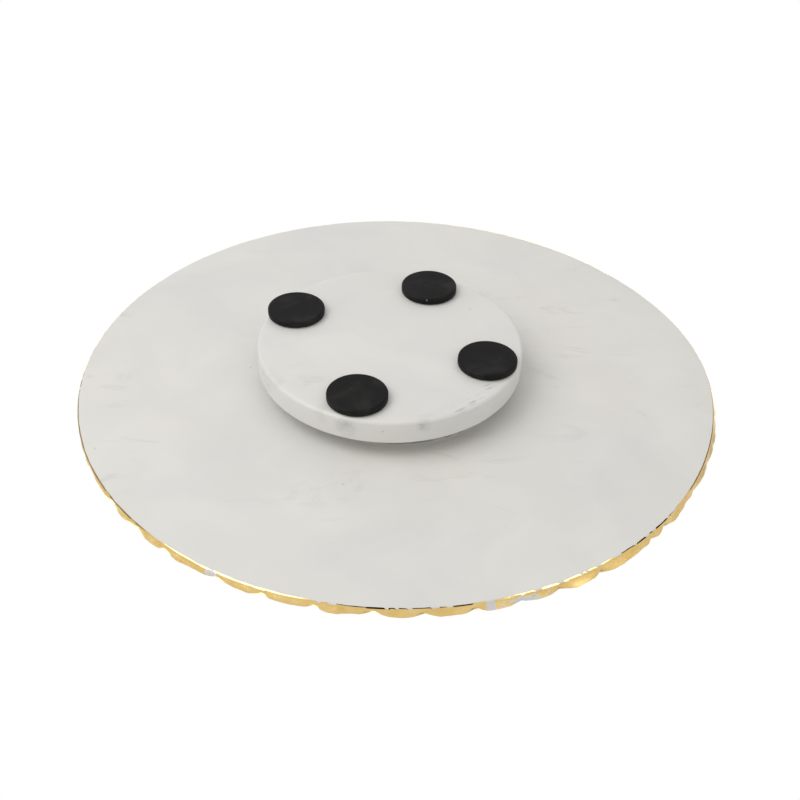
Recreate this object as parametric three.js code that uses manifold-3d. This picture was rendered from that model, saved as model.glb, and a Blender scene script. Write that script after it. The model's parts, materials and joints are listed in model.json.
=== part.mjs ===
// Marble lazy susan: a chipped-edge marble platter that turns on a ball bearing over a marble base
// disc, which stands on four rubber feet. Millimetres, +Z up. The origin is on the surface it stands
// on, under the axis of rotation.
import * as THREE from 'three';
import { mergeVertices } from 'three/addons/utils/BufferGeometryUtils.js';
import Module from 'manifold-3d';

// ---------------------------------------------------------------- driving dimensions
const CLEARANCE = 0.3;                // running gap between pieces that move or fit in each other

const PLATTER_RADIUS = 152.5;         // to the crests of the chipped edge
const PLATTER_THICKNESS = 11;
const SCALLOPS = 48;                  // chips round the edge
const STEPS_PER_SCALLOP = 4;

const BASE_RADIUS = 62.75;
const BASE_THICKNESS = 11.5;
const BASE_EDGE_CHAMFER = 0.6;
const BASE_CENTRE = [-3.15, 0];       // the hand-fitted base disc sits a little off the axis
const COUNTERBORE_DEPTH = 4;          // sinks the heads of the base screws under the feet

const FOOT_RADIUS = 13.8;
const FOOT_HEIGHT = 3.25;
const FOOT_EDGE_ROUNDING = 1.2;
const ADHESIVE_RADIUS = 13;
const ADHESIVE_THICKNESS = 0.5;
// The feet are stuck on by hand, so each has its own angle and distance from the base disc's centre.
const FEET = [
  { angle: 21.5, distance: 48.5 },
  { angle: 106.7, distance: 48 },
  { angle: 204.2, distance: 50.5 },
  { angle: 293.2, distance: 47.5 },
];

const BEARING_HEIGHT = 8.5;
const PLATE_RADIUS = 53;
const PLATE_BORE = 9.2;
const SHEET = 1.2;                    // thickness of the pressed plates and of the cage
const BALL_RADIUS = 2.38;             // 3/16 inch balls
const BALLS = 16;
const BALL_CIRCLE = 38;               // radius of the circle that the ball centres run on
const CREST_WIDTH = 1.5;              // flat on each side of the race
const CAGE_HALF_WIDTH = 3.5;
const PRESSED_STEP = 1.8;             // run of each sloping step pressed into the plates
const DISH_RADIUS = 13;               // sunk middle of each plate, which clears the rivet's flange
const DISH_DEPTH = 1.5;

const RIVET_RADIUS = 8.7;
const RIVET_WALL = 1.4;
const RIVET_FLANGE_RADIUS = 12;

const BASE_SCREW_CIRCLE = 48.6;
const BASE_SCREW_TURN = 22;           // puts each screw under its foot, in degrees
const BASE_SCREW = { shank: 2, head: 4, headHeight: 2.4, driver: 1.2 };
const NUT_HEIGHT = 3.2;
const NUT_RADIUS = 4;                 // across the corners
const SCREW_END_OVER_NUT = 0.4;

const PLATTER_SCREW_CIRCLE = 22;
const PLATTER_SCREW = { shank: 1.75, head: 3.4, headHeight: 2, driver: 1 };
const PLATTER_SCREW_REACH = 6.5;      // how far it goes into the marble
const PLUG_RADIUS = 3;
const PLUG_LENGTH = 7.5;
const SCREWS = 4;

// Flat sides that stand for a round one.
const SIDES = { base: 96, plate: 40, cage: 48, foot: 32, adhesive: 24, rivet: 24, bore: 16, screw: 12 };
const PAST = 1;                       // how far a cutting tool reaches past the face that it cuts

// ---------------------------------------------------------------- levels, from the floor up
const BASE_BOTTOM = FOOT_HEIGHT + ADHESIVE_THICKNESS;
const BASE_TOP = BASE_BOTTOM + BASE_THICKNESS;
const PLATTER_BOTTOM = BASE_TOP + BEARING_HEIGHT;
const BALL_LEVEL = BASE_TOP + BEARING_HEIGHT / 2;

// ---------------------------------------------------------------- materials
function material(color, roughness, metalness) {
  return new THREE.MeshStandardMaterial({ color, roughness, metalness });
}

const marble = () => material('#dedcd8', 0.35, 0);
const rubber = () => material('#2c2a29', 0.75, 0);
const adhesive = () => material('#e8e4da', 0.8, 0);
const steel = () => material('#a9abad', 0.35, 1);
const nylon = () => material('#d9d5cb', 0.6, 0);

// ---------------------------------------------------------------- solids
const wasm = await Module();
wasm.setup();

// A closed manifold-3d solid from a geometry, with its shared corners merged and the triangles that
// collapse at the poles of a turned shape left out.
function toSolid(geometry) {
  const bare = geometry.clone();
  bare.deleteAttribute('normal');
  bare.deleteAttribute('uv');
  const welded = mergeVertices(bare);
  const corners = [];
  for (let i = 0; i < welded.index.count; i += 3) {
    const [a, b, c] = [0, 1, 2].map((k) => welded.index.getX(i + k));
    if (a !== b && b !== c && c !== a) corners.push(a, b, c);
  }
  return new wasm.Manifold(new wasm.Mesh({
    numProp: 3,
    vertProperties: new Float32Array(welded.attributes.position.array),
    triVerts: new Uint32Array(corners),
  }));
}

function toGeometry(solid) {
  const mesh = solid.getMesh();
  const geometry = new THREE.BufferGeometry();
  geometry.setAttribute('position', new THREE.BufferAttribute(mesh.vertProperties, 3));
  geometry.setIndex(new THREE.BufferAttribute(mesh.triVerts, 1));
  return geometry;
}

function cut(geometry, tools) {
  const whole = toSolid(geometry);
  return toGeometry(tools.reduce((left, tool) => left.subtract(toSolid(tool)), whole));
}

// A profile of [radius, height] corners, anticlockwise, turned round the Z axis.
function turned(profile, segments) {
  const corners = profile.map(([radius, height]) => new THREE.Vector2(radius, height));
  return new THREE.LatheGeometry(corners, segments).rotateX(Math.PI / 2);
}

// An upright cylinder that stands at the given height.
function post(radius, height, segments, bottom = 0) {
  const geometry = new THREE.CylinderGeometry(radius, radius, height, segments);
  return geometry.rotateX(Math.PI / 2).translate(0, 0, bottom + height / 2);
}

// A flat ring or plate: an outline with holes, pushed up by its height.
function slab(outline, holes, height) {
  outline.holes = holes;
  return new THREE.ExtrudeGeometry(outline, { depth: height, bevelEnabled: false, curveSegments: 6 });
}

function circle(radius, x = 0, y = 0) {
  return new THREE.Shape().absarc(x, y, radius, 0, 2 * Math.PI);
}

function onCircle(radius, degrees) {
  const angle = THREE.MathUtils.degToRad(degrees);
  return [radius * Math.cos(angle), radius * Math.sin(angle)];
}

// Angles in degrees of count things spaced evenly round the axis.
function evenly(count, first = 0) {
  return Array.from({ length: count }, (_, i) => first + (i * 360) / count);
}

const BASE_SCREW_ANGLES = evenly(SCREWS, BASE_SCREW_TURN);
const PLATTER_SCREW_ANGLES = evenly(SCREWS, 360 / SCREWS / 2);

// A maker of cutting tools: each drills from below the seat up to the given height, and leaves the
// running clearance round a post of the given radius.
function hole(radius, height, sides = SIDES.bore) {
  return () => post(radius + CLEARANCE, height + PAST, sides, -PAST);
}

// Places copies of a cutting tool on a circle.
function toolsOnCircle(radius, angles, makeTool) {
  return angles.map((angle) => makeTool().translate(...onCircle(radius, angle), 0));
}

// ---------------------------------------------------------------- the assembly
const turntable = new THREE.Group();

function add(name, geometry, itsMaterial, [x, y] = [0, 0], z = 0, turn = 0) {
  const mesh = new THREE.Mesh(geometry, itsMaterial);
  mesh.name = name;
  mesh.position.set(x, y, z);
  mesh.rotation.z = turn;
  turntable.add(mesh);
}

// ---------------------------------------------------------------- feet
// A rubber foot: flat face down, with its lower edge rounded.
function footGeometry() {
  const arcSteps = 3;
  const profile = [[0, 0]];
  for (let i = 0; i <= arcSteps; i += 1) {
    const angle = (i / arcSteps - 1) * (Math.PI / 2);
    profile.push([
      FOOT_RADIUS - FOOT_EDGE_ROUNDING * (1 - Math.cos(angle)),
      FOOT_EDGE_ROUNDING * (1 + Math.sin(angle)),
    ]);
  }
  profile.push([FOOT_RADIUS, FOOT_HEIGHT], [0, FOOT_HEIGHT]);
  return turned(profile, SIDES.foot);
}

function addFeet() {
  FEET.forEach(({ angle, distance }, i) => {
    const [x, y] = onCircle(distance, angle);
    const place = [BASE_CENTRE[0] + x, BASE_CENTRE[1] + y];
    add(`foot_${i + 1}`, footGeometry(), rubber(), place);
    const disc = post(ADHESIVE_RADIUS, ADHESIVE_THICKNESS, SIDES.adhesive);
    add(`foot_adhesive_${i + 1}`, disc, adhesive(), place, FOOT_HEIGHT);
  });
}

// ---------------------------------------------------------------- base disc
// A plain round disc, drilled for the base screws on a circle round the axis.
function addBaseDisc() {
  const top = BASE_THICKNESS;
  const chamfered = BASE_RADIUS - BASE_EDGE_CHAMFER;
  const disc = turned([
    [0, 0],
    [chamfered, 0],
    [BASE_RADIUS, BASE_EDGE_CHAMFER],
    [BASE_RADIUS, top - BASE_EDGE_CHAMFER],
    [chamfered, top],
    [0, top],
  ], SIDES.base).translate(...BASE_CENTRE, 0);
  const holes = [
    ...toolsOnCircle(BASE_SCREW_CIRCLE, BASE_SCREW_ANGLES, hole(BASE_SCREW.shank, BASE_THICKNESS + PAST)),
    ...toolsOnCircle(BASE_SCREW_CIRCLE, BASE_SCREW_ANGLES, hole(BASE_SCREW.head, COUNTERBORE_DEPTH)),
  ];
  add('base_disc', cut(disc, holes), marble(), [0, 0], BASE_BOTTOM);
}

// ---------------------------------------------------------------- screws and nuts
// A pan-head screw, head down, with its shoulder at height 0, its head below and its shank above. A
// cross recess is cut into the head.
function screwGeometry({ shank, head, headHeight, driver }, shankLength) {
  const body = turned([
    [0, -headHeight],
    [head * 0.8, -headHeight],
    [head, -headHeight * 0.6],
    [head, 0],
    [shank, 0],
    [shank, shankLength - shank / 2],
    [shank / 2, shankLength],
    [0, shankLength],
  ], SIDES.screw);
  const recess = headHeight * 0.6;
  const arm = () => new THREE.BoxGeometry(head * 1.1, driver, 2 * recess).translate(0, 0, -headHeight);
  return cut(body, [arm(), arm().rotateZ(Math.PI / 2)]);
}

function addBaseScrews() {
  const nutBottom = BASE_TOP + SHEET;
  const shoulder = BASE_BOTTOM + COUNTERBORE_DEPTH - CLEARANCE;
  const shankLength = nutBottom + NUT_HEIGHT + SCREW_END_OVER_NUT - shoulder;
  const hexagon = () => new THREE.Shape(evenly(6).map(
    (angle) => new THREE.Vector2(...onCircle(NUT_RADIUS, angle)),
  ));
  BASE_SCREW_ANGLES.forEach((angle, i) => {
    const place = onCircle(BASE_SCREW_CIRCLE, angle);
    const turn = THREE.MathUtils.degToRad(angle);
    add(`base_screw_${i + 1}`, screwGeometry(BASE_SCREW, shankLength), steel(), place, shoulder, turn);
    const nut = slab(hexagon(), [circle(BASE_SCREW.shank + CLEARANCE)], NUT_HEIGHT);
    add(`clinch_nut_${i + 1}`, nut, steel(), place, nutBottom, turn);
  });
}

function addPlatterScrews() {
  const shoulder = PLATTER_BOTTOM - SHEET - CLEARANCE / 2;
  const shankLength = PLATTER_BOTTOM + PLATTER_SCREW_REACH - shoulder;
  PLATTER_SCREW_ANGLES.forEach((angle, i) => {
    const place = onCircle(PLATTER_SCREW_CIRCLE, angle);
    const screw = screwGeometry(PLATTER_SCREW, shankLength);
    add(`platter_screw_${i + 1}`, screw, steel(), place, shoulder, THREE.MathUtils.degToRad(angle));
    const plug = slab(circle(PLUG_RADIUS), [circle(PLATTER_SCREW.shank + CLEARANCE)], PLUG_LENGTH);
    add(`platter_plug_${i + 1}`, plug, nylon(), place, PLATTER_BOTTOM);
  });
}

// ---------------------------------------------------------------- bearing
// The middle line of the lower plate's pressed sheet, from its bore out to its rim, as [radius,
// height above the plate's seat]. The race is a trough that the balls run in, between two crests.
function plateMiddleLine() {
  const flat = SHEET / 2;
  const troughRadius = BALL_RADIUS + CLEARANCE + SHEET / 2;
  const ballHeight = BEARING_HEIGHT / 2;
  const crest = ballHeight - SHEET - CLEARANCE;
  const spread = Math.acos((ballHeight - crest) / troughRadius);
  const race = [-1, -0.5, 0, 0.5, 1].map((share) => [
    BALL_CIRCLE + troughRadius * Math.sin(share * spread),
    ballHeight - troughRadius * Math.cos(share * spread),
  ]);
  const inner = race[0][0] - CREST_WIDTH;
  const outer = race.at(-1)[0] + CREST_WIDTH;
  return [
    [PLATE_BORE, flat + DISH_DEPTH],
    [DISH_RADIUS, flat + DISH_DEPTH],
    [DISH_RADIUS + PRESSED_STEP, flat],
    [inner - PRESSED_STEP, flat],
    [inner, crest],
    ...race,
    [outer, crest],
    [outer + PRESSED_STEP, flat],
    [PLATE_RADIUS, flat],
  ];
}

// The closed outline of a sheet with the given middle line, half its thickness to each side.
function sheetOutline(middle) {
  const points = middle.map(([radius, height]) => new THREE.Vector2(radius, height));
  const side = (offset) => points.map((point, i) => {
    const before = points[Math.max(i - 1, 0)];
    const after = points[Math.min(i + 1, points.length - 1)];
    const into = point.clone().sub(before);
    const out = after.clone().sub(point);
    if (i === 0) into.copy(out);
    if (i === points.length - 1) out.copy(into);
    const normal = into.normalize().add(out.normalize()).normalize();
    const miter = offset / Math.abs(normal.dot(out));
    return [point.x - normal.y * miter, point.y + normal.x * miter];
  });
  const below = side(-SHEET / 2);
  const above = side(SHEET / 2);
  return [...below, ...above.reverse(), below[0]];
}

function addRacePlates() {
  const through = BEARING_HEIGHT + PAST;
  const lower = plateMiddleLine();
  const upper = lower.map(([radius, height]) => [radius, BEARING_HEIGHT - height]);
  const baseScrewHole = hole(BASE_SCREW.shank, through, SIDES.screw);
  const accessHole = hole(PLATTER_SCREW.head, through, SIDES.screw);
  const platterScrewHole = hole(PLATTER_SCREW.shank, through, SIDES.screw);
  const lowerHoles = [
    ...toolsOnCircle(BASE_SCREW_CIRCLE, BASE_SCREW_ANGLES, baseScrewHole),
    ...toolsOnCircle(PLATTER_SCREW_CIRCLE, PLATTER_SCREW_ANGLES, accessHole),
  ];
  const upperHoles = toolsOnCircle(PLATTER_SCREW_CIRCLE, PLATTER_SCREW_ANGLES, platterScrewHole);
  const plate = (middle, holes) => cut(turned(sheetOutline(middle), SIDES.plate), holes);
  add('lower_race_plate', plate(lower, lowerHoles), steel(), [0, 0], BASE_TOP);
  add('upper_race_plate', plate(upper, upperHoles), steel(), [0, 0], BASE_TOP);
}

// A hollow rivet: one flange under the lower plate's dish and one over the upper plate's.
function addCentreRivet() {
  const low = DISH_DEPTH;
  const high = BEARING_HEIGHT - DISH_DEPTH + CLEARANCE;
  const flange = DISH_DEPTH - 2 * CLEARANCE;
  const bore = RIVET_RADIUS - RIVET_WALL;
  add('centre_rivet', turned([
    [bore, low - flange],
    [RIVET_FLANGE_RADIUS, low - flange],
    [RIVET_FLANGE_RADIUS, low],
    [RIVET_RADIUS, low],
    [RIVET_RADIUS, high],
    [RIVET_FLANGE_RADIUS, high],
    [RIVET_FLANGE_RADIUS, high + flange],
    [bore, high + flange],
    [bore, low - flange],
  ], SIDES.rivet), steel(), [0, 0], BASE_TOP);
}

function addBallsAndCage() {
  const pocket = BALL_RADIUS + CLEARANCE;
  const pockets = evenly(BALLS).map((angle) => circle(pocket, ...onCircle(BALL_CIRCLE, angle)));
  const cornersAt = (radius) => evenly(SIDES.cage, 360 / SIDES.cage / 2).map(
    (angle) => new THREE.Vector2(...onCircle(radius, angle)),
  );
  const ring = new THREE.Shape(cornersAt(BALL_CIRCLE + CAGE_HALF_WIDTH));
  const middle = new THREE.Path(cornersAt(BALL_CIRCLE - CAGE_HALF_WIDTH));
  const cage = slab(ring, [middle, ...pockets], SHEET);
  add('ball_cage', cage, nylon(), [0, 0], BALL_LEVEL - SHEET / 2);
  evenly(BALLS).forEach((angle, i) => {
    const ball = new THREE.SphereGeometry(BALL_RADIUS, 8, 6).rotateX(Math.PI / 2);
    add(`bearing_ball_${i + 1}`, ball, steel(), onCircle(BALL_CIRCLE, angle), BALL_LEVEL);
  });
}

// ---------------------------------------------------------------- platter
// The edge of the platter, from its underside up: a plain ring, then the belly of the chips, then
// their slope in to the top face. notch is how far the valleys between two chips lie inside the crests.
const EDGE = [
  { inset: 2.2, height: 0, notch: 0.2 },
  { inset: 0, height: 3.5, notch: 1.6 },
  { inset: 2.6, height: 7, notch: 3 },
  { inset: 9.5, height: PLATTER_THICKNESS, notch: 3.5 },
];

// 1 on the crest of a chip and 0 in the sharp valley between two chips.
function crestShare(angle) {
  return Math.abs(Math.cos((SCALLOPS * angle) / 2)) ** 0.7;
}

function addPlatter() {
  const profile = [
    [0, 0],
    ...EDGE.map(({ inset, height }) => [PLATTER_RADIUS - inset, height]),
    [0, PLATTER_THICKNESS],
  ];
  const notches = [0, ...EDGE.map(({ notch }) => notch), 0];
  const disc = turned(profile, SCALLOPS * STEPS_PER_SCALLOP);
  const corner = new THREE.Vector3();
  const places = disc.attributes.position;
  for (let i = 0; i < places.count; i += 1) {
    corner.fromBufferAttribute(places, i);
    const radius = Math.hypot(corner.x, corner.y);
    const pulledIn = notches[i % profile.length] * (1 - crestShare(Math.atan2(corner.y, corner.x)));
    const share = radius > 0 ? 1 - pulledIn / radius : 1;
    places.setXYZ(i, corner.x * share, corner.y * share, corner.z);
  }
  const plugHole = hole(PLUG_RADIUS, PLUG_LENGTH + CLEARANCE);
  const holes = toolsOnCircle(PLATTER_SCREW_CIRCLE, PLATTER_SCREW_ANGLES, plugHole);
  add('platter', cut(disc, holes), marble(), [0, 0], PLATTER_BOTTOM);
}

addFeet();
addBaseDisc();
addBaseScrews();
addRacePlates();
addCentreRivet();
addBallsAndCage();
addPlatterScrews();
addPlatter();

export default turntable;
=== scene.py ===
# The looks of a marble lazy susan turntable: a chipped and gilded marble platter over a marble base
# disc on four rubber feet. The reference shows it lying upside down, so the camera looks up at it
# from below the surface that its feet stand on.
import json
import math

import bpy
import numpy as np
from mathutils import Matrix, Vector, noise


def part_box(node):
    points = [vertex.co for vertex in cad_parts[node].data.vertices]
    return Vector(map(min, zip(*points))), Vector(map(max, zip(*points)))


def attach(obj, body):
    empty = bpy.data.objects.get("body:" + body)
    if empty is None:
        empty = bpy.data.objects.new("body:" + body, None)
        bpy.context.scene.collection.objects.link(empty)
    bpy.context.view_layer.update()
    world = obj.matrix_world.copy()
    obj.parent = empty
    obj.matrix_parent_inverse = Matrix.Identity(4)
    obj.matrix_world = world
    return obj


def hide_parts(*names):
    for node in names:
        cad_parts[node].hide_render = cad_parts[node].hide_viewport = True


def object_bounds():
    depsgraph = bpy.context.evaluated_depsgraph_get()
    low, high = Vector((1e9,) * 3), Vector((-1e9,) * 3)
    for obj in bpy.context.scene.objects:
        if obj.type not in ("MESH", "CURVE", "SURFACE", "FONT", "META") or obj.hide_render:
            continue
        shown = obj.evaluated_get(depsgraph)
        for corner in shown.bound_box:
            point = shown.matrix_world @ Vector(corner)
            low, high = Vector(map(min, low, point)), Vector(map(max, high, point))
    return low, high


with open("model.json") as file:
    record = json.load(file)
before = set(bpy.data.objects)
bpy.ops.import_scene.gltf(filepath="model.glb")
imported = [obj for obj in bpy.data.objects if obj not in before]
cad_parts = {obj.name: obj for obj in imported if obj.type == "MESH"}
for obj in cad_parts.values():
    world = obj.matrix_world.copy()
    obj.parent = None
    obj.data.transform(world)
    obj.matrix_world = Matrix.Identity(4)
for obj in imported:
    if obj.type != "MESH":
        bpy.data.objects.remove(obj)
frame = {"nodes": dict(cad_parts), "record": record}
cad_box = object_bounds()

MM = 0.001
SEED = 7
random = np.random.default_rng(SEED)

# ---------------------------------------------------------------- sizes taken from the frame
platter_low, platter_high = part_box("platter")
base_low, base_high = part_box("base_disc")
UNDERSIDE = platter_low.z
TOP = platter_high.z
PLATTER_RADIUS = (platter_high.x - platter_low.x) / 2
BASE_RADIUS = (base_high.x - base_low.x) / 2
FEET = [f"foot_{i}" for i in range(1, 5)]
BALLS = sorted(name for name in frame["nodes"] if name.startswith("bearing_ball_"))
BASE_SCREWS = [f"base_screw_{i}" for i in range(1, 5)]
PLUGS = [f"platter_plug_{i}" for i in range(1, 5)]
HOLE_CLEARANCE = 0.3 * MM


def middle(node):
    low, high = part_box(node)
    return (low + high) / 2


# ---------------------------------------------------------------- camera
CAMERA_DISTANCE = 0.5577
CAMERA_BELOW = math.radians(36.63)
CAMERA_ROLL = math.radians(1.46)
SENSOR_WIDTH = 36.0
LENS = 51.77
AIM_RIGHT = 2.1 * MM
AIM_NEARER = 20.7 * MM
NEAREST_SEEN = 10 * MM


def make_camera():
    """Looks up at the platter's underside from in front and below, rolled a little."""
    centre = Vector((0, 0, UNDERSIDE))
    back = Vector((0, math.cos(CAMERA_BELOW), -math.sin(CAMERA_BELOW)))
    place = centre + CAMERA_DISTANCE * back
    aim = centre + Vector((AIM_RIGHT, AIM_NEARER, 0))
    ahead = (aim - place).normalized()
    right = ahead.cross(Vector((0, 0, -1))).normalized()
    up = right.cross(ahead)
    roll = Matrix.Rotation(-CAMERA_ROLL, 3, ahead)
    right, up = roll @ right, roll @ up
    data = bpy.data.cameras.new("camera")
    data.sensor_width = SENSOR_WIDTH
    data.lens = LENS
    data.clip_start = NEAREST_SEEN
    camera = bpy.data.objects.new("camera", data)
    camera.matrix_world = Matrix.Translation(place) @ Matrix((right, up, -ahead)).transposed().to_4x4()
    bpy.context.scene.collection.objects.link(camera)
    bpy.context.scene.camera = camera


# ---------------------------------------------------------------- node helpers
def new_material(name):
    material = bpy.data.materials.new(name)
    material.use_nodes = True
    tree = material.node_tree
    return material, tree, tree.nodes["Principled BSDF"]


def node(tree, kind, inputs=None, **settings):
    """A shader node; inputs maps a socket to a value or to another node's output."""
    made = tree.nodes.new(kind)
    for key, value in settings.items():
        setattr(made, key, value)
    for socket, value in (inputs or {}).items():
        feed(tree, made.inputs[socket], value)
    return made


def feed(tree, socket, value):
    if isinstance(value, bpy.types.NodeSocket):
        tree.links.new(value, socket)
    else:
        socket.default_value = value


def place_in_object(tree, stretch=(1, 1, 1), shift=(0, 0, 0)):
    """Object coordinates, stretched and shifted, in metres."""
    source = node(tree, "ShaderNodeTexCoord").outputs["Object"]
    return node(tree, "ShaderNodeMapping", {"Vector": source, "Scale": stretch, "Location": shift}).outputs[0]


def grain(tree, where, scale, detail=3.0, roughness=0.5, distortion=0.0):
    """Noise from 0 to 1, with scale in features per metre."""
    inputs = {"Vector": where, "Scale": scale, "Detail": detail, "Roughness": roughness}
    return node(tree, "ShaderNodeTexNoise", {**inputs, "Distortion": distortion}).outputs["Fac"]


def remap(tree, value, from_low, from_high, to_low=0.0, to_high=1.0, smooth=False):
    kind = "SMOOTHSTEP" if smooth else "LINEAR"
    inputs = {
        "Value": value, "From Min": from_low, "From Max": from_high, "To Min": to_low, "To Max": to_high}
    return node(tree, "ShaderNodeMapRange", inputs, interpolation_type=kind, clamp=True).outputs[0]


def math_node(tree, operation, a, b=0.0):
    return node(tree, "ShaderNodeMath", {0: a, 1: b}, operation=operation).outputs[0]


def mix_colour(tree, share, a, b, blend="MIX"):
    made = node(tree, "ShaderNodeMix", data_type="RGBA", blend_type=blend)
    feed(tree, made.inputs["Factor"], share)
    feed(tree, made.inputs["A"], a if isinstance(a, bpy.types.NodeSocket) else (*a, 1))
    feed(tree, made.inputs["B"], b if isinstance(b, bpy.types.NodeSocket) else (*b, 1))
    return made.outputs["Result"]


def bump(tree, height, strength, depth):
    inputs = {"Height": height, "Strength": strength, "Distance": depth}
    return node(tree, "ShaderNodeBump", inputs).outputs["Normal"]


# ---------------------------------------------------------------- materials
STONE_SHADE = (0.735, 0.73, 0.705)
STONE_LIGHT = (0.80, 0.79, 0.755)
STONE_WARM = (0.80, 0.765, 0.715)
STREAK_GREY = (0.42, 0.42, 0.41)
SPECK_GREY = (0.28, 0.27, 0.25)
MINERAL_GREY = (0.30, 0.31, 0.31)
STREAK_TURN = (0.3, 0.2, 0.7)
STREAK_STRETCH = (1.0, 2.8, 2.0)
GOLD_DEEP = (0.87, 0.60, 0.21)
GOLD_BRIGHT = (0.98, 0.73, 0.32)
RUBBER_BLACK = (0.0045, 0.0043, 0.0041)
# The lighter grey of the rubbed patches on the feet: partly wear, partly painted sheen.
RUBBER_WORN_AND_SHEEN = (0.0115, 0.0112, 0.0105)
DUST = (0.3, 0.29, 0.27)
ZINC_DARK = (0.50, 0.51, 0.52)
ZINC_LIGHT = (0.64, 0.65, 0.66)
BALL_DARK = (0.62, 0.62, 0.63)
BALL_LIGHT = (0.72, 0.72, 0.73)


def stone_clouds(tree, where):
    """White stone with faint warm and cool clouds."""
    clouds = grain(tree, where, 26, detail=4, distortion=0.6)
    warmth = grain(tree, where, 17, detail=2)
    cool = mix_colour(tree, remap(tree, clouds, 0.3, 0.7), STONE_SHADE, STONE_LIGHT)
    return mix_colour(tree, remap(tree, warmth, 0.42, 0.7, 0, 0.4), cool, STONE_WARM)


def stone_streaks(tree, where, strength):
    """The share of grey in soft streaks that come and go in patches."""
    drawn = node(tree, "ShaderNodeMapping", {
        "Vector": where, "Rotation": STREAK_TURN, "Scale": STREAK_STRETCH}).outputs[0]
    streaks = grain(tree, drawn, 22, detail=6, roughness=0.65, distortion=1.6)
    streaks = remap(tree, streaks, 0.56, 0.74, smooth=True)
    patches = remap(tree, grain(tree, where, 14, detail=2), 0.46, 0.62, smooth=True)
    return math_node(tree, "MULTIPLY", math_node(tree, "MULTIPLY", streaks, patches), strength)


def specks(tree, where, scale, core, rim, strength, here):
    """The share of small round specks, solid out to core and gone at rim, where here is above 0."""
    spots = node(tree, "ShaderNodeTexVoronoi", {"Vector": where, "Scale": scale}).outputs["Distance"]
    return math_node(tree, "MULTIPLY", remap(tree, spots, core, rim, strength, 0), here)


def marble_colour(tree, shift, streak_strength):
    """White marble: faint warm and cool clouds, soft broken grey streaks and a few dark specks."""
    where = place_in_object(tree, shift=shift)
    colour = stone_clouds(tree, where)
    colour = mix_colour(tree, stone_streaks(tree, where, streak_strength), colour, STREAK_GREY)
    here = remap(tree, grain(tree, where, 31, detail=0), 0.62, 0.68)
    speck = specks(tree, where, scale=75.0, core=0.02, rim=0.06, strength=0.35, here=here)
    return mix_colour(tree, speck, colour, SPECK_GREY), where


def soft_cloud(tree):
    """Broad uneven patches, for smudges."""
    here = node(tree, "ShaderNodeTexCoord").outputs["Object"]
    return remap(tree, grain(tree, here, 170, detail=4, distortion=0.6), 0.30, 0.72)


def thin_strokes(tree, heading):
    """Thin dark strokes that run along one heading over the face of the stone."""
    here = node(tree, "ShaderNodeTexCoord").outputs["Object"]
    drawn_out = {"Vector": here, "Rotation": (0, 0, heading), "Scale": (8.0, 0.8, 1.0)}
    along = node(tree, "ShaderNodeMapping", drawn_out, vector_type="TEXTURE").outputs[0]
    return remap(tree, grain(tree, along, 520, detail=4, distortion=0.5), 0.50, 0.60)


def add_marks(tree, colour, marks, broken):
    """Grey mineral marks round given points, each as (point, reach, strength), broken up by a texture."""
    here = node(tree, "ShaderNodeTexCoord").outputs["Object"]
    for point, reach, strength in marks:
        gap = node(tree, "ShaderNodeVectorMath", {0: here, 1: point}, operation="DISTANCE").outputs["Value"]
        share = math_node(tree, "MULTIPLY", remap(tree, gap, 0.0, reach, strength, 0, smooth=True), broken)
        colour = mix_colour(tree, share, colour, MINERAL_GREY)
    return colour


def marble(name, shift=(0, 0, 0), streak_strength=0.22, smudges=(), strokes=(), heading=0.0):
    material, tree, shader = new_material(name)
    colour, where = marble_colour(tree, shift, streak_strength)
    colour = add_marks(tree, colour, smudges, soft_cloud(tree))
    colour = add_marks(tree, colour, strokes, thin_strokes(tree, heading))
    feed(tree, shader.inputs["Base Color"], colour)
    crystals = grain(tree, where, 900, detail=3)
    scuffs = grain(tree, where, 60, detail=6, roughness=0.7)
    feed(tree, shader.inputs["Roughness"], remap(tree, scuffs, 0.3, 0.7, 0.36, 0.52))
    feed(tree, shader.inputs["Normal"], bump(tree, crystals, 0.12, 0.1 * MM))
    shader.inputs["IOR"].default_value = 1.5
    shader.inputs["Specular IOR Level"].default_value = 0.36
    return material


def mesh_value(tree, name):
    """A value that the mesh holds at each of its points."""
    return node(tree, "ShaderNodeAttribute", attribute_name=name).outputs["Fac"]


def worn_share(tree, where):
    """1 where the leaf has torn off and 0 where it holds, with a ragged line between."""
    ragged = math_node(tree, "SUBTRACT", grain(tree, where, 520, detail=5, roughness=0.6), 0.5)
    torn = math_node(tree, "ADD", mesh_value(tree, "bare"), math_node(tree, "MULTIPLY", ragged, 1.3))
    return remap(tree, torn, 0.46, 0.54)


def gilt():
    """Gold leaf over chipped marble, worn through to the stone where the mesh's bare value is high."""
    material, tree, shader = new_material("gilt")
    where = place_in_object(tree)
    tone = grain(tree, where, 140, detail=4)
    gold = mix_colour(tree, remap(tree, tone, 0.3, 0.7), GOLD_DEEP, GOLD_BRIGHT)
    stone, _ = marble_colour(tree, shift=(0, 0, 0), streak_strength=0.5)
    worn = worn_share(tree, where)
    feed(tree, shader.inputs["Base Color"], mix_colour(tree, worn, gold, stone))
    feed(tree, shader.inputs["Metallic"], math_node(tree, "SUBTRACT", 1.0, worn))
    creases = grain(tree, where, 520, detail=4, roughness=0.6)
    chipped = math_node(tree, "SUBTRACT", 1.0, mesh_value(tree, "polished"))
    roughness = math_node(tree, "MULTIPLY", remap(tree, creases, 0.35, 0.65, 0.2, 0.4), chipped)
    roughness = math_node(tree, "ADD", roughness, 0.08)
    roughness = math_node(tree, "ADD", roughness, math_node(tree, "MULTIPLY", worn, 0.2))
    feed(tree, shader.inputs["Roughness"], roughness)
    crease_strength = math_node(tree, "MULTIPLY", chipped, 0.3)
    feed(tree, shader.inputs["Normal"], bump(tree, creases, crease_strength, 0.1 * MM))
    return material


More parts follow.
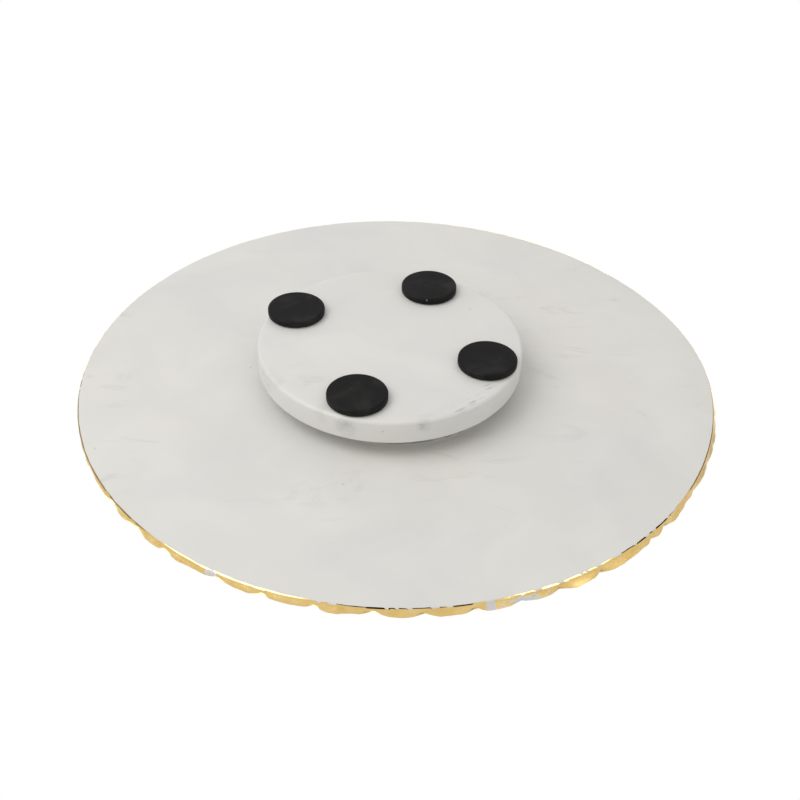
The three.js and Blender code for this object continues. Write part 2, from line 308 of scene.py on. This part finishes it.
def rubber():
    """Matt black rubber, rubbed shiny in soft patches that are painted lighter grey, partly as wear and
    partly as painted sheen, with a few specks of dust.
    """
    material, tree, shader = new_material("rubber")
    where = place_in_object(tree)
    smears = grain(tree, where, 55, detail=3, distortion=0.8)
    worn_and_sheen = remap(tree, smears, 0.48, 0.68, smooth=True)
    # Painted sheen: the rubbed patches are painted a lighter grey, partly for the wear of the rubber and
    # partly as painted sheen.
    colour = mix_colour(tree, worn_and_sheen, RUBBER_BLACK, RUBBER_WORN_AND_SHEEN)
    here = remap(tree, grain(tree, where, 90, detail=0), 0.62, 0.64)
    speck = specks(tree, where, scale=170.0, core=0.05, rim=0.09, strength=0.7, here=here)
    feed(tree, shader.inputs["Base Color"], mix_colour(tree, speck, colour, DUST))
    feed(tree, shader.inputs["Roughness"], remap(tree, smears, 0.4, 0.7, 0.6, 0.46))
    shader.inputs["Specular IOR Level"].default_value = 0.17
    feed(tree, shader.inputs["Normal"], bump(tree, grain(tree, where, 1400, detail=2), 0.25, 0.05 * MM))
    return material


def zinc_steel():
    material, tree, shader = new_material("zinc_steel")
    where = place_in_object(tree)
    spangle = grain(tree, where, 160, detail=4)
    colour = mix_colour(tree, remap(tree, spangle, 0.3, 0.7), ZINC_DARK, ZINC_LIGHT)
    feed(tree, shader.inputs["Base Color"], colour)
    shader.inputs["Metallic"].default_value = 1.0
    scuffs = grain(tree, where, 420, detail=4)
    feed(tree, shader.inputs["Roughness"], remap(tree, scuffs, 0.3, 0.7, 0.28, 0.45))
    feed(tree, shader.inputs["Normal"], bump(tree, grain(tree, where, 900, detail=2), 0.2, 0.03 * MM))
    return material


def ball_steel():
    material, tree, shader = new_material("ball_steel")
    where = place_in_object(tree)
    colour = mix_colour(tree, remap(tree, grain(tree, where, 700), 0.3, 0.7), BALL_DARK, BALL_LIGHT)
    feed(tree, shader.inputs["Base Color"], colour)
    shader.inputs["Metallic"].default_value = 1.0
    feed(tree, shader.inputs["Roughness"], remap(tree, grain(tree, where, 1500), 0.3, 0.7, 0.10, 0.18))
    return material


def nylon(name, light, dark):
    material, tree, shader = new_material(name)
    where = place_in_object(tree)
    flow = grain(tree, where, 300, detail=3, distortion=0.8)
    feed(tree, shader.inputs["Base Color"], mix_colour(tree, remap(tree, flow, 0.3, 0.7), dark, light))
    feed(tree, shader.inputs["Roughness"], remap(tree, grain(tree, where, 800), 0.3, 0.7, 0.48, 0.62))
    feed(tree, shader.inputs["Normal"], bump(tree, grain(tree, where, 1200, detail=2), 0.2, 0.04 * MM))
    return material


# ---------------------------------------------------------------- mesh helpers
def turned_points(radii, heights, angles):
    """Rings of points round the Z axis. radii and heights are one row per ring, or one value per ring."""
    radii = np.broadcast_to(radii, (len(radii), len(angles)))
    heights = np.broadcast_to(heights, radii.shape)
    return np.stack([radii * np.cos(angles), radii * np.sin(angles), heights], axis=-1)


def steps_round(count):
    return np.arange(count) * 2 * math.pi / count


def ring_faces(rings, steps, closes):
    """Quads between neighbouring rings, facing out when the rings run up the outside."""
    last = rings if closes else rings - 1
    low = np.repeat(np.arange(last), steps) * steps
    high = (np.repeat(np.arange(last), steps) + 1) % rings * steps
    here = np.tile(np.arange(steps), last)
    following = (here + 1) % steps
    return np.stack([low + here, low + following, high + following, high + here], axis=-1).tolist()


def ring_mesh(name, points, closes=False):
    """A mesh over rings of points. Unless the rings close on themselves, a fan closes each end."""
    rings, steps = points.shape[:2]
    vertices = points.reshape(-1, 3)
    faces = ring_faces(rings, steps, closes)
    if not closes:
        poles = [len(vertices), len(vertices) + 1]
        ends = [points[0].mean(axis=0), points[-1].mean(axis=0)]
        vertices = np.vstack([vertices, ends])
        top = (rings - 1) * steps
        faces += [[(i + 1) % steps, i, poles[0]] for i in range(steps)]
        faces += [[top + i, top + (i + 1) % steps, poles[1]] for i in range(steps)]
    mesh = bpy.data.meshes.new(name)
    mesh.from_pydata(vertices.tolist(), [], faces)
    mesh.update()
    return mesh


SHARP_ANGLE = math.radians(32)


def make_piece(name, mesh, material, body, replaced):
    mesh.materials.clear()
    mesh.materials.append(material)
    mesh.shade_smooth()
    mesh.set_sharp_from_angle(angle=SHARP_ANGLE)
    piece = bpy.data.objects.new(name, mesh)
    bpy.context.scene.collection.objects.link(piece)
    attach(piece, body)
    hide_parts(replaced)
    return piece


HOLE_STEPS = 48


def drilled(mesh, holes):
    """The mesh with round holes cut out of it. Each hole is (centre, radius, lowest, highest)."""
    steps = steps_round(HOLE_STEPS)
    cutters = []
    for centre, radius, lowest, highest in holes:
        points = turned_points([[radius], [radius]], [[lowest], [highest]], steps)
        points[..., 0] += centre.x
        points[..., 1] += centre.y
        cutters.append(bpy.data.objects.new("cutter", ring_mesh("cutter", points)))
    blank = bpy.data.objects.new("blank", mesh)
    for scratch in [blank, *cutters]:
        bpy.context.scene.collection.objects.link(scratch)
    for cutter in cutters:
        cut = blank.modifiers.new("cut", "BOOLEAN")
        cut.operation = "DIFFERENCE"
        cut.solver = "EXACT"
        cut.object = cutter
    whole = blank.evaluated_get(bpy.context.evaluated_depsgraph_get())
    result = bpy.data.meshes.new_from_object(whole)
    for scratch in [blank, *cutters]:
        bpy.data.objects.remove(scratch)
    return result


def fine_noise(points, scale, seed):
    """Smooth noise from -1 to 1 at each point; scale is in features per metre."""
    shift = Vector((seed, seed, seed))
    flat = points.reshape(-1, 3)
    values = [noise.noise(Vector(point) * scale + shift) for point in flat]
    return np.array(values).reshape(points.shape[:-1])


def layered_noise(points, layers):
    """Several noises added up, in metres. Each layer is (height in mm, features per metre, seed)."""
    return sum(height * MM * fine_noise(points, scale, seed) for height, scale, seed in layers)


# ---------------------------------------------------------------- platter
EDGE_STEPS = 1440
# The section of the edge from the underside up, as (inset from the widest radius, height) in mm, on the
# crest of a chip and in the dip between two chips. The first two points are the polished bevel.
CREST_SECTION = [
    (2.7, 0), (2.2, 0.5), (1.95, 1.1), (1.1, 2.5), (0, 4.1), (1.4, 5.4), (3.9, 7.2), (7.0, 9.1), (10.3, 11)]
DIP_SECTION = [
    (2.7, 0), (2.2, 0.5), (2.05, 1.1), (2.1, 1.8), (2.9, 2.8), (4.6, 4.5), (7.4, 6.8), (10, 9), (12.3, 11)]
RINGS_PER_SPAN = 3
BEVEL_RINGS = 2
WALL_RINGS = 3 * RINGS_PER_SPAN
LOWER_CHIPS = 46
UPPER_CHIPS = 31
# How far a dip strays from its even place, as a share of the pitch; how deep and how wide (mm) the dips
# are; how sharply they fall away; and how far a crest's shoulders drop below its middle.
DIP_STRAY = 0.3
DIP_DEPTHS = (0.2, 0.62)
DIP_WIDTHS = (2.0, 4.5)
DIP_SHARPNESS = 1.5
CROWN_DROP = 0.22
# The chips stand out furthest on one side of the platter and least on the side opposite.
FULLEST_SIDE = math.radians(20)
MEAN_FULLNESS = 0.68
FULLNESS_SWING = 0.32
# Places where the chips stand out more or were broken back: (angle and half-width of the place in
# degrees, how far as a share of a chip's depth).
SWELLS = [(-5, 24, -0.25), (33, 6, -0.35), (62, 4, 0.2)]
# The slab was cut by hand, and in one place it runs out past the round: (angle, half-width, how far in mm).
# There it was chipped evenly and its leaf lies smooth, so the dips and flakes lose a share of their depth.
OUT_OF_ROUND = (-8, 20, 1.9)
EVEN_PLACE = (0, 28)
EVEN_DIP_LOSS = 0.9
EVEN_FLAKE_LOSS = 0.7
# Small flakes in the chips: how many, the range of their places up the edge as a share of it, of their
# depths and reaches in mm, and how far they lean.
FLAKES = 430
FLAKE_LEVELS = (-0.05, 1.05)
FLAKE_DEPTHS = (0.15, 0.85)
FLAKE_REACHES = (3.5, 8.5)
FLAKE_LEAN = 0.6
# Fine grit over the flakes, as layers of noise, and how far a bite goes in and down for its depth.
EDGE_GRIT = [(0.10, 450, 3), (0.05, 1300, 9)]
BITE_INWARD = 0.8
BITE_DOWNWARD = 0.6
# Where the flat rings lie under the platter and over it, as shares of the radius there.
UNDER_RINGS = (0.1, 0.35, 0.6, 0.8, 0.93)
OVER_RINGS = (0.985, 0.9, 0.6, 0.35, 0.1)


def fine_section(section):
    """The section with each span over the bevel split, as rows of radius and height in metres."""
    corners = np.array(section, float) * MM
    corners[:, 0] = PLATTER_RADIUS - corners[:, 0]
    rows = list(corners[:BEVEL_RINGS])
    for low, high in zip(corners[BEVEL_RINGS - 1:], corners[BEVEL_RINGS:]):
        rows += [low + (high - low) * k / RINGS_PER_SPAN for k in range(1, RINGS_PER_SPAN + 1)]
    return np.array(rows)


def near_place(angles, centre, half_width, flatness=2):
    """1 at one place on the edge, falling smoothly to 0 away from it. The place is in degrees."""
    away = (np.degrees(angles) - centre + 180) % 360 - 180
    return np.exp(-(np.abs(away / half_width) ** flatness))


def evenness(angles):
    """1 where the edge was chipped evenly, falling to 0 away from there."""
    return near_place(angles, *EVEN_PLACE, flatness=4)


def fullness(angles):
    """How far the crests of the chips stand out, as a share of the way from the dip to the crest section."""
    share = MEAN_FULLNESS + FULLNESS_SWING * np.cos(angles - FULLEST_SIDE)
    for centre, half_width, rise in SWELLS:
        share = share + rise * near_place(angles, centre, half_width)
    return share


def crest_share(angles, chips):
    """How far out the edge stands, from 0 in the deepest dips to its fullness on the crest of a chip."""
    pitch = 2 * math.pi / chips
    dips = np.arange(chips) * pitch + random.uniform(-DIP_STRAY, DIP_STRAY, chips) * pitch
    depths = random.uniform(*DIP_DEPTHS, chips)
    widths = random.uniform(*DIP_WIDTHS, chips) * MM
    away = (angles[:, None] - dips[None, :] + math.pi) % (2 * math.pi) - math.pi
    lengths = np.abs(away) * PLATTER_RADIUS
    cut = (depths * np.exp(-((lengths / widths) ** DIP_SHARPNESS))).max(axis=1)
    nearest = lengths.min(axis=1) / (pitch * PLATTER_RADIUS / 2)
    crown = CROWN_DROP * (1 - np.clip(nearest, 0, 1)) ** 2
    kept = 1 - (cut + crown) * (1 - EVEN_DIP_LOSS * evenness(angles))
    return np.clip(kept, 0, 1) * fullness(angles)


def flakes(along, upward, reach_up):
    """How deep small flakes bite in at each point of the edge: shallow bowls that meet in sharp ridges.

    along and upward are lengths over the surface, round the edge and up it."""
    round_edge = 2 * math.pi * PLATTER_RADIUS
    at = random.uniform(0, round_edge, FLAKES)
    level = random.uniform(*FLAKE_LEVELS, FLAKES) * reach_up
    depth = random.uniform(*FLAKE_DEPTHS, FLAKES) * MM
    reach = random.uniform(*FLAKE_REACHES, FLAKES) * MM
    lean = random.uniform(-FLAKE_LEAN, FLAKE_LEAN, FLAKES)
    deepest = np.full(along.shape, -1.0)
    for a, b, d, r, slant in zip(at, level, depth, reach, lean):
        up = upward - b
        side = (along - a + round_edge / 2) % round_edge - round_edge / 2 + slant * up
        deepest = np.maximum(deepest, d * (1 - (side**2 + up**2) / r**2))
    return np.clip(deepest, 0, None)


def change_over(climb):
    """0 where the lower row of chips shapes the edge, 1 where the upper row does, and a ramp between."""
    return np.clip(2 * climb - 0.9, 0, 1)


def chipped_section(angles, climb):
    """Radius and height of each ring, with the large chips, and how far up the surface each ring lies."""
    crest, dip = fine_section(CREST_SECTION), fine_section(DIP_SECTION)
    lower, upper = crest_share(angles, LOWER_CHIPS), crest_share(angles, UPPER_CHIPS)
    share = lower + (upper - lower) * change_over(climb)
    radii = dip[:, :1] + (crest[:, :1] - dip[:, :1]) * share
    heights = dip[:, 1:] + (crest[:, 1:] - dip[:, 1:]) * share
    spans = np.linalg.norm(np.diff(crest, axis=0), axis=1)
    upward = np.concatenate([[0], np.cumsum(spans)])[:, None]
    return radii, heights, upward


def edge_points(angles):
    """The chipped edge's surface, ring by ring from the underside to the top face."""
    rings = len(fine_section(CREST_SECTION))
    climb = np.linspace(0, 1, rings)[:, None]
    radii, heights, upward = chipped_section(angles, climb)
    along = np.broadcast_to(angles * PLATTER_RADIUS, radii.shape)
    bite = flakes(along, np.broadcast_to(upward, radii.shape), upward[-1, 0])
    centre, half_width, rise = OUT_OF_ROUND
    radii = radii + rise * MM * near_place(angles, centre, half_width)
    bite = bite + layered_noise(turned_points(radii, heights, angles), EDGE_GRIT)
    settle = np.clip((np.arange(rings) - BEVEL_RINGS + 1) / WALL_RINGS, 0, 1)[:, None]
    bite = bite * settle * (1 - EVEN_FLAKE_LOSS * evenness(angles) * (1 - climb))
    downward = np.where(climb < 1, BITE_DOWNWARD, 0)
    return turned_points(radii - bite * BITE_INWARD, heights - bite * downward + UNDERSIDE, angles)


def with_underside_and_top(edge, angles):
    """The edge's rings with flat rings added under it and over it, towards the middle."""
    under = turned_points((np.array(UNDER_RINGS) * PLATTER_RADIUS)[:, None], UNDERSIDE, angles)
    top_radius = np.linalg.norm(edge[-1, :, :2], axis=-1)
    over = [turned_points((top_radius * share)[None, :], TOP, angles) for share in OVER_RINGS]
    return np.vstack([under, edge, *over])


# The leaf's outer and inner surface above the stone, how far its upper edge laps onto the top face and
# wavers there, in mm, and how smoothly it lies on the even part of the wall.
LEAF = 0.07 * MM
LEAF_BACK = 0.01 * MM
LEAF_LAP = 1.0
LAP_WAVER = 0.7
WALL_POLISH = 0.5
# Where the gold has come off: (angle round the edge, height) of the middle, the reach round the edge and
# up it, and how fully it has gone. Angles are in degrees and lengths in mm.
BARE_PLACES = [
    (118.2, 2.8, 3.3, 2.2, 1), (75.0, 2.5, 2.2, 4.0, 1), (69.0, 2.6, 12.0, 2.8, 0.56),
    (198, 4.0, 3.0, 2.5, 0.8), (262, 5.0, 2.0, 3.0, 1), (305, 3.0, 4.5, 2.0, 0.55),
    (341, 7.0, 2.2, 2.5, 1), (22, 5.5, 2.0, 2.0, 0.6), (95, 9.0, 6.0, 1.5, 0.5),
    (230, 9.5, 7.0, 1.6, 0.5), (282, 8.0, 2.5, 1.2, 1), (160, 7.5, 5.0, 1.5, 0.5)]
# How many reaches out a bare place ends, and how ragged its border is.
BARE_EXTENT = 1.5
BARE_RAGGEDNESS = 0.55


def bare_value(points, angles):
    """Near 1 where the gold has come off, near 0 where it holds."""
    degrees = np.degrees(angles)[None, :]
    height = points[..., 2] - UNDERSIDE
    value = np.zeros(height.shape)
    ragged = BARE_RAGGEDNESS * fine_noise(points, scale=260, seed=21)
    for place, middle_height, reach, rise, strength in BARE_PLACES:
        along = np.radians((degrees - place + 180) % 360 - 180) * PLATTER_RADIUS / (reach * MM)
        upward = (height - middle_height * MM) / (rise * MM)
        value = np.maximum(value, strength * np.clip(BARE_EXTENT - np.hypot(along, upward) + ragged, 0, 1))
    return value


def add_attribute(mesh, name, values):
    attribute = mesh.attributes.new(name, "FLOAT", "POINT")
    attribute.data.foreach_set("value", np.ravel(values).astype(np.float32))


# The leaf's lower border on the bevel, as a share of the way up it: its middle, how far it wavers, its
# lowest and highest, and where it lies where it is broken off.
BORDER_MIDDLE = 0.12
BORDER_WAVER = 0.45
BORDER_LOWEST = 0.04
BORDER_HIGHEST = 0.5
BORDER_BROKEN = 0.97
# Degrees round the edge between which that border is broken into dashes, and how high the noise must
# rise to break it.
RAGGED_SPANS = [(36, 60), (63, 74), (77, 101), (172, 215), (250, 290), (318, 340)]
BREAK_LEVEL = 0.12


def ragged_here(angles):
    degrees = np.degrees(angles)
    return np.any([(degrees > first) & (degrees < last) for first, last in RAGGED_SPANS], axis=0)


def leaf_border(edge, angles):
    """The leaf's lower edge on the bevel: a wavering line, broken into dashes on the ragged spans."""
    flat_edge, bevel_top = edge[:BEVEL_RINGS]
    waver = BORDER_MIDDLE + BORDER_WAVER * fine_noise(bevel_top, scale=190, seed=41)
    start = np.clip(waver, BORDER_LOWEST, BORDER_HIGHEST)
    broken = ragged_here(angles) & (fine_noise(bevel_top, scale=330, seed=43) > BREAK_LEVEL)
    return flat_edge + (bevel_top - flat_edge) * np.where(broken, BORDER_BROKEN, start)[:, None]


def leaf_lap(edge, angles):
    """The leaf's upper edge: a wavering line a little way in on the top face."""
    lap = (LEAF_LAP + LAP_WAVER * fine_noise(edge[-1], scale=120, seed=5)) * MM
    top_radius = np.linalg.norm(edge[-1, :, :2], axis=-1)
    return turned_points((top_radius - lap)[None, :], TOP, angles)


def outward_normals(skin):
    """The direction out of the surface at each point of a set of rings that run up the outside."""
    along = np.roll(skin, -1, axis=1) - np.roll(skin, 1, axis=1)
    across = np.gradient(skin, axis=0)
    outward = np.cross(along, across)
    return outward / np.linalg.norm(outward, axis=-1, keepdims=True)


def leaf_polish(angles, rings):
    """How smooth the leaf lies, from 0 on the chips to 1 on the ground bevel."""
    polished = np.zeros((rings, len(angles)))
    polished[:BEVEL_RINGS] = 1
    polished[BEVEL_RINGS:BEVEL_RINGS + WALL_RINGS] = WALL_POLISH * evenness(angles)
    return polished


def gilded_edge(edge, angles):
    """A thin closed skin of gold leaf from a wavering line on the bevel, over the chips, to the top face."""
    skin = np.vstack([leaf_border(edge, angles)[None], edge[BEVEL_RINGS - 1:], leaf_lap(edge, angles)])
    outward = outward_normals(skin)
    outer = skin + LEAF * outward
    inner = skin + LEAF_BACK * outward
    mesh = ring_mesh("gilded_edge", np.vstack([outer, inner[::-1]]), closes=True)
    values = {"bare": bare_value(outer, angles), "polished": leaf_polish(angles, len(outer))}
    for name, value in values.items():
        add_attribute(mesh, name, np.vstack([value, value[::-1]]))
    return mesh


def make_platter():
    angles = steps_round(EDGE_STEPS)
    edge = edge_points(angles)
    plug_low, plug_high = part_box(PLUGS[0])
    radius = (plug_high.x - plug_low.x) / 2 + HOLE_CLEARANCE
    holes = [(middle(plug), radius, UNDERSIDE - MM, plug_high.z + HOLE_CLEARANCE) for plug in PLUGS]
    slab = drilled(ring_mesh("platter_slab", with_underside_and_top(edge, angles)), holes)
    make_piece("platter_slab", slab, marble("platter_marble"), "platter", "platter")
    make_piece("gilded_edge", gilded_edge(edge, angles), gilt(), "platter", "platter")


# ---------------------------------------------------------------- base disc
def rounded_section(radius, low, high, low_round, high_round, steps=6):
    """Rows of (radius, height) up the outside of a disc with rounded edges."""
    turn = np.linspace(0, math.pi / 2, steps)
    below = [(radius - low_round * (1 - math.sin(a)), low + low_round * (1 - math.cos(a))) for a in turn]
    above = [(radius - high_round * (1 - math.cos(a)), high - high_round * (1 - math.sin(a))) for a in turn]
    return np.array(below + above)


def disc_rows(section, flat_shares, radius, low, high):
    """The section with flat rings added below and above it, at the given shares of the radius."""
    flat = np.array(flat_shares) * radius
    below = [(r, low) for r in flat]
    above = [(r, high) for r in flat[::-1]]
    return np.array(below + list(section) + above)


# Grey marks in the base disc's marble: angle, share of the radius, share of the height, reach in mm and
# strength. Soft smudges lie mostly on its side wall, and thin strokes follow its front edge.
BASE_SMUDGES = [
    (75, 1.0, 0.25, 5, 0.35), (107, 1.0, 0.40, 7, 0.6), (118, 0.97, 0.2, 6, 0.3), (153, 1.0, 0.35, 9, 0.35),
    (146, 0.98, 0.1, 6, 0.25), (35, 0.62, 0, 4, 0.3), (290, 0.9, 0, 7, 0.4), (215, 1.0, 0.5, 8, 0.4),
    (330, 1.0, 0.6, 6, 0.4)]
BASE_STROKES = [
    (38, 0.91, 0, 4, 0.7), (46, 0.945, 0, 3, 0.4), (52, 0.955, 0, 4, 0.8), (59, 0.955, 0, 5, 0.9),
    (76, 1.0, 0.2, 4, 0.4)]
STROKE_HEADING = math.radians(143)
# Cuts the base disc from another part of the stone than the platter.
BASE_STONE_SHIFT = (0.31, 0.12, 0.07)
BASE_STREAK_STRENGTH = 0.3
COUNTERBORE_DEPTH = 4 * MM
SHANK_RADIUS = 2 * MM
BASE_LOW_ROUND = 1.8 * MM
BASE_HIGH_ROUND = 0.7 * MM
BASE_STEPS = 360
BASE_FLAT_RINGS = (0.15, 0.45, 0.7, 0.85, 0.93)
# How unevenly the rim was ground, as layers of noise, and the shares of the radius at which the
# unevenness begins and over which it grows.
GRINDING = [(0.16, 70, 13), (0.05, 400, 17)]
GRINDING_FROM = 0.95
GRINDING_RAMP = 0.03


def base_point(angle, radius_share, height_share):
    """A point in the base disc, from its angle in degrees and shares of the disc's radius and height."""
    turn = math.radians(angle)
    reach = Vector((math.cos(turn), math.sin(turn), 0)) * BASE_RADIUS * radius_share
    level = base_low.z + height_share * (base_high.z - base_low.z)
    return middle("base_disc") * Vector((1, 1, 0)) + reach + Vector((0, 0, level))


def placed(marks):
    """Marks given by angle and shares, as (point, reach, strength) in metres."""
    return [(base_point(*place), reach * MM, strength) for *place, reach, strength in marks]


def ground_disc():
    """The base disc's mesh: softly rounded below, crisper above, ground a little unevenly by hand."""
    angles = steps_round(BASE_STEPS)
    section = rounded_section(BASE_RADIUS, base_low.z, base_high.z, BASE_LOW_ROUND, BASE_HIGH_ROUND)
    rows = disc_rows(section, BASE_FLAT_RINGS, BASE_RADIUS, base_low.z, base_high.z)
    wobble = layered_noise(turned_points(rows[:, :1], rows[:, 1:], angles), GRINDING)
    near_rim = np.clip((rows[:, :1] / BASE_RADIUS - GRINDING_FROM) / GRINDING_RAMP, 0, 1)
    points = turned_points(rows[:, :1] - np.abs(wobble) * near_rim, rows[:, 1:], angles)
    points[..., :2] += np.array(middle("base_disc"))[:2]
    return ring_mesh("base_slab", points)


def base_holes():
    """A counterbore and a shank hole for each base screw."""
    holes = []
    for screw in BASE_SCREWS:
        low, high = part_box(screw)
        head_radius = (high.x - low.x) / 2 + 2 * HOLE_CLEARANCE
        holes.append((middle(screw), head_radius, base_low.z - MM, base_low.z + COUNTERBORE_DEPTH))
        holes.append((middle(screw), SHANK_RADIUS + HOLE_CLEARANCE, base_low.z, base_high.z + MM))
    return holes


def make_base_disc():
    smudges, strokes = placed(BASE_SMUDGES), placed(BASE_STROKES)
    stone = marble("base_marble", BASE_STONE_SHIFT, BASE_STREAK_STRENGTH, smudges, strokes, STROKE_HEADING)
    slab = drilled(ground_disc(), base_holes())
    make_piece("base_slab", slab, stone, "base", "base_disc")


# ---------------------------------------------------------------- feet and balls
FOOT_STEPS = 128
FOOT_LOW_ROUND = 0.9 * MM
FOOT_HIGH_ROUND = 0.3 * MM
FOOT_FLAT_RINGS = (0.2, 0.5, 0.8, 0.9)
FOOT_UNEVENNESS = [(0.06, 180, 31)]
BALL_RINGS = 14
BALL_STEPS = 24


def make_foot(name, material):
    """A rubber foot: flat faces, a rounded edge below, and a side that isn't quite round."""
    low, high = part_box(name)
    radius, centre = (high.x - low.x) / 2, middle(name)
    section = rounded_section(radius, low.z, high.z, FOOT_LOW_ROUND, FOOT_HIGH_ROUND)
    rows = disc_rows(section, FOOT_FLAT_RINGS, radius, low.z, high.z)
    points = turned_points(rows[:, :1], rows[:, 1:], steps_round(FOOT_STEPS))
    pulled_in = layered_noise(points + np.array(centre), FOOT_UNEVENNESS)
    points[..., :2] *= 1 - np.abs(pulled_in)[..., None] / radius
    points[..., 0] += centre.x
    points[..., 1] += centre.y
    make_piece(f"{name}_rubber", ring_mesh(name, points), material, "base", name)


def make_ball(name, material):
    low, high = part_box(name)
    radius, centre = (high.z - low.z) / 2, middle(name)
    turns = np.linspace(-math.pi / 2, math.pi / 2, BALL_RINGS)[1:-1]
    radii, heights = radius * np.cos(turns)[:, None], radius * np.sin(turns)[:, None]
    points = turned_points(radii, heights, steps_round(BALL_STEPS)) + np.array(centre)
    make_piece(f"{name}_steel", ring_mesh(name, points), material, "ball_cage", name)


# ---------------------------------------------------------------- carried-over CAD nodes
def paint_hidden_pieces():
    """Gives every CAD node that stays its own finish."""
    looks = {
        "zinc_steel": zinc_steel(),
        "nylon": nylon("nylon", light=(0.74, 0.71, 0.64), dark=(0.66, 0.63, 0.56)),
        "adhesive": nylon("adhesive", light=(0.70, 0.68, 0.63), dark=(0.60, 0.58, 0.53)),
    }
    for part in frame["record"]["subparts"]:
        look = looks.get(part["material_slot"])
        if look is not None:
            materials = frame["nodes"][part["node"]].data.materials
            materials.clear()
            materials.append(look)


# ---------------------------------------------------------------- studio
FLOOR_RADIUS = 12.0
FLOOR_SIDES = 96
FLOOR_GAP = 0.2 * MM
FLOOR_GREY = 0.88


def make_floor():
    """A pale floor under the feet. It shows from above only, so that the camera can look up past it."""
    material, tree, shader = new_material("floor")
    shader.inputs["Base Color"].default_value = (FLOOR_GREY, FLOOR_GREY, FLOOR_GREY, 1)
    shader.inputs["Roughness"].default_value = 0.9
    clear = node(tree, "ShaderNodeBsdfTransparent")
    behind = node(tree, "ShaderNodeNewGeometry").outputs["Backfacing"]
    either = node(tree, "ShaderNodeMixShader", {0: behind, 1: shader.outputs[0], 2: clear.outputs[0]})
    tree.links.new(either.outputs[0], tree.nodes["Material Output"].inputs["Surface"])
    rim = turned_points([[FLOOR_RADIUS]], [[0]], steps_round(FLOOR_SIDES))[0]
    mesh = bpy.data.meshes.new("floor")
    mesh.from_pydata(rim.tolist(), [], [tuple(range(FLOOR_SIDES))])
    mesh.materials.append(material)
    floor = bpy.data.objects.new("floor", mesh)
    bpy.context.scene.collection.objects.link(floor)
    floor.location.z = -FLOOR_GAP
    for ray in ("diffuse", "glossy", "transmission", "shadow"):
        setattr(floor, f"visible_{ray}", False)


# Soft lights, as (name, place from the middle of the object in metres, power in watts).
SOFTBOX_SIZE = 0.9
SOFTBOXES = [("lower_light", (-0.70, 0.20, -1.02), 5.4), ("upper_light", (-0.55, -0.35, 1.15), 4.6)]


def make_softbox(name, place, power):
    """A square soft light that faces the middle of the object."""
    data = bpy.data.lights.new(name, "AREA")
    data.shape = "SQUARE"
    data.size = SOFTBOX_SIZE
    data.energy = power
    light = bpy.data.objects.new(name, data)
    target = (cad_box[0] + cad_box[1]) / 2
    light.location = target + Vector(place)
    light.rotation_euler = (target - light.location).to_track_quat("-Z", "Y").to_euler()
    light.visible_camera = False
    bpy.context.scene.collection.objects.link(light)


# What polished surfaces mirror in the studio: (direction, inner and outer half-angle in degrees,
# brightness). The bright cards are softboxes, and the dark ones are unlit parts of the room.
CARDS = [
    ((-0.68, 0.48, -0.55), 19, 23, 4.6),
    ((0.72, 0.44, -0.54), 13, 17, 4.6),
    ((0.06, 0.75, -0.66), 17, 20, 0.015),
    ((0.94, 0.02, -0.34), 12, 15, 0.015),
    ((-0.94, -0.10, -0.30), 8, 14, 0.35),
    ((0.83, -0.54, 0.01), 16, 21, 0.3),
    ((-0.83, -0.54, 0.01), 18, 24, 0.35),
    ((0.00, -0.86, 0.50), 24, 38, 1.9),
    ((-0.35, -0.25, 0.90), 14, 26, 2.6),
    ((0.45, 0.20, 0.87), 10, 24, 0.15),
]
ROOM_BRIGHTNESS = 0.95
AMBIENT = 0.675
WARM_WHITE = (1.0, 0.995, 0.985, 1)
WHITE = (1, 1, 1, 1)


def card_brightness(tree):
    """How bright the studio is in each direction: the room's even brightness, with the cards laid over."""
    direction = node(tree, "ShaderNodeTexCoord").outputs["Generated"]
    unit = node(tree, "ShaderNodeVectorMath", {0: direction}, operation="NORMALIZE").outputs[0]
    brightness = ROOM_BRIGHTNESS
    for card, inner, outer, level in CARDS:
        towards = tuple(Vector(card).normalized())
        product = node(tree, "ShaderNodeVectorMath", {0: unit, 1: towards}, operation="DOT_PRODUCT")
        edge, full = math.cos(math.radians(outer)), math.cos(math.radians(inner))
        inside = remap(tree, product.outputs["Value"], edge, full, smooth=True)
        mixed = node(tree, "ShaderNodeMix", data_type="FLOAT")
        feed(tree, mixed.inputs["Factor"], inside)
        feed(tree, mixed.inputs["A"], brightness)
        feed(tree, mixed.inputs["B"], level)
        brightness = mixed.outputs["Result"]
    return brightness


def make_world():
    """White to the camera, even soft light for matt surfaces, and studio cards for polished ones."""
    world = bpy.data.worlds.new("studio")
    bpy.context.scene.world = world
    world.use_nodes = True
    tree = world.node_tree
    tree.nodes.clear()
    cards = node(tree, "ShaderNodeBackground", {"Strength": card_brightness(tree)})
    even = node(tree, "ShaderNodeBackground", {"Color": WARM_WHITE, "Strength": AMBIENT})
    white = node(tree, "ShaderNodeBackground", {"Color": WHITE, "Strength": 1.0})
    paths = node(tree, "ShaderNodeLightPath").outputs
    lit = node(tree, "ShaderNodeMixShader", {
        0: paths["Is Glossy Ray"], 1: even.outputs[0], 2: cards.outputs[0]})
    seen = node(tree, "ShaderNodeMixShader", {
        0: paths["Is Camera Ray"], 1: lit.outputs[0], 2: white.outputs[0]})
    output = node(tree, "ShaderNodeOutputWorld")
    tree.links.new(seen.outputs[0], output.inputs["Surface"])


def make_studio():
    bpy.context.scene.view_settings.view_transform = "Standard"
    make_world()
    make_floor()
    for name, place, power in SOFTBOXES:
        make_softbox(name, place, power)


make_camera()
make_studio()
make_platter()
make_base_disc()
rubber_look = rubber()
for foot in FEET:
    make_foot(foot, rubber_look)
ball_look = ball_steel()
for ball in BALLS:
    make_ball(ball, ball_look)
paint_hidden_pieces()
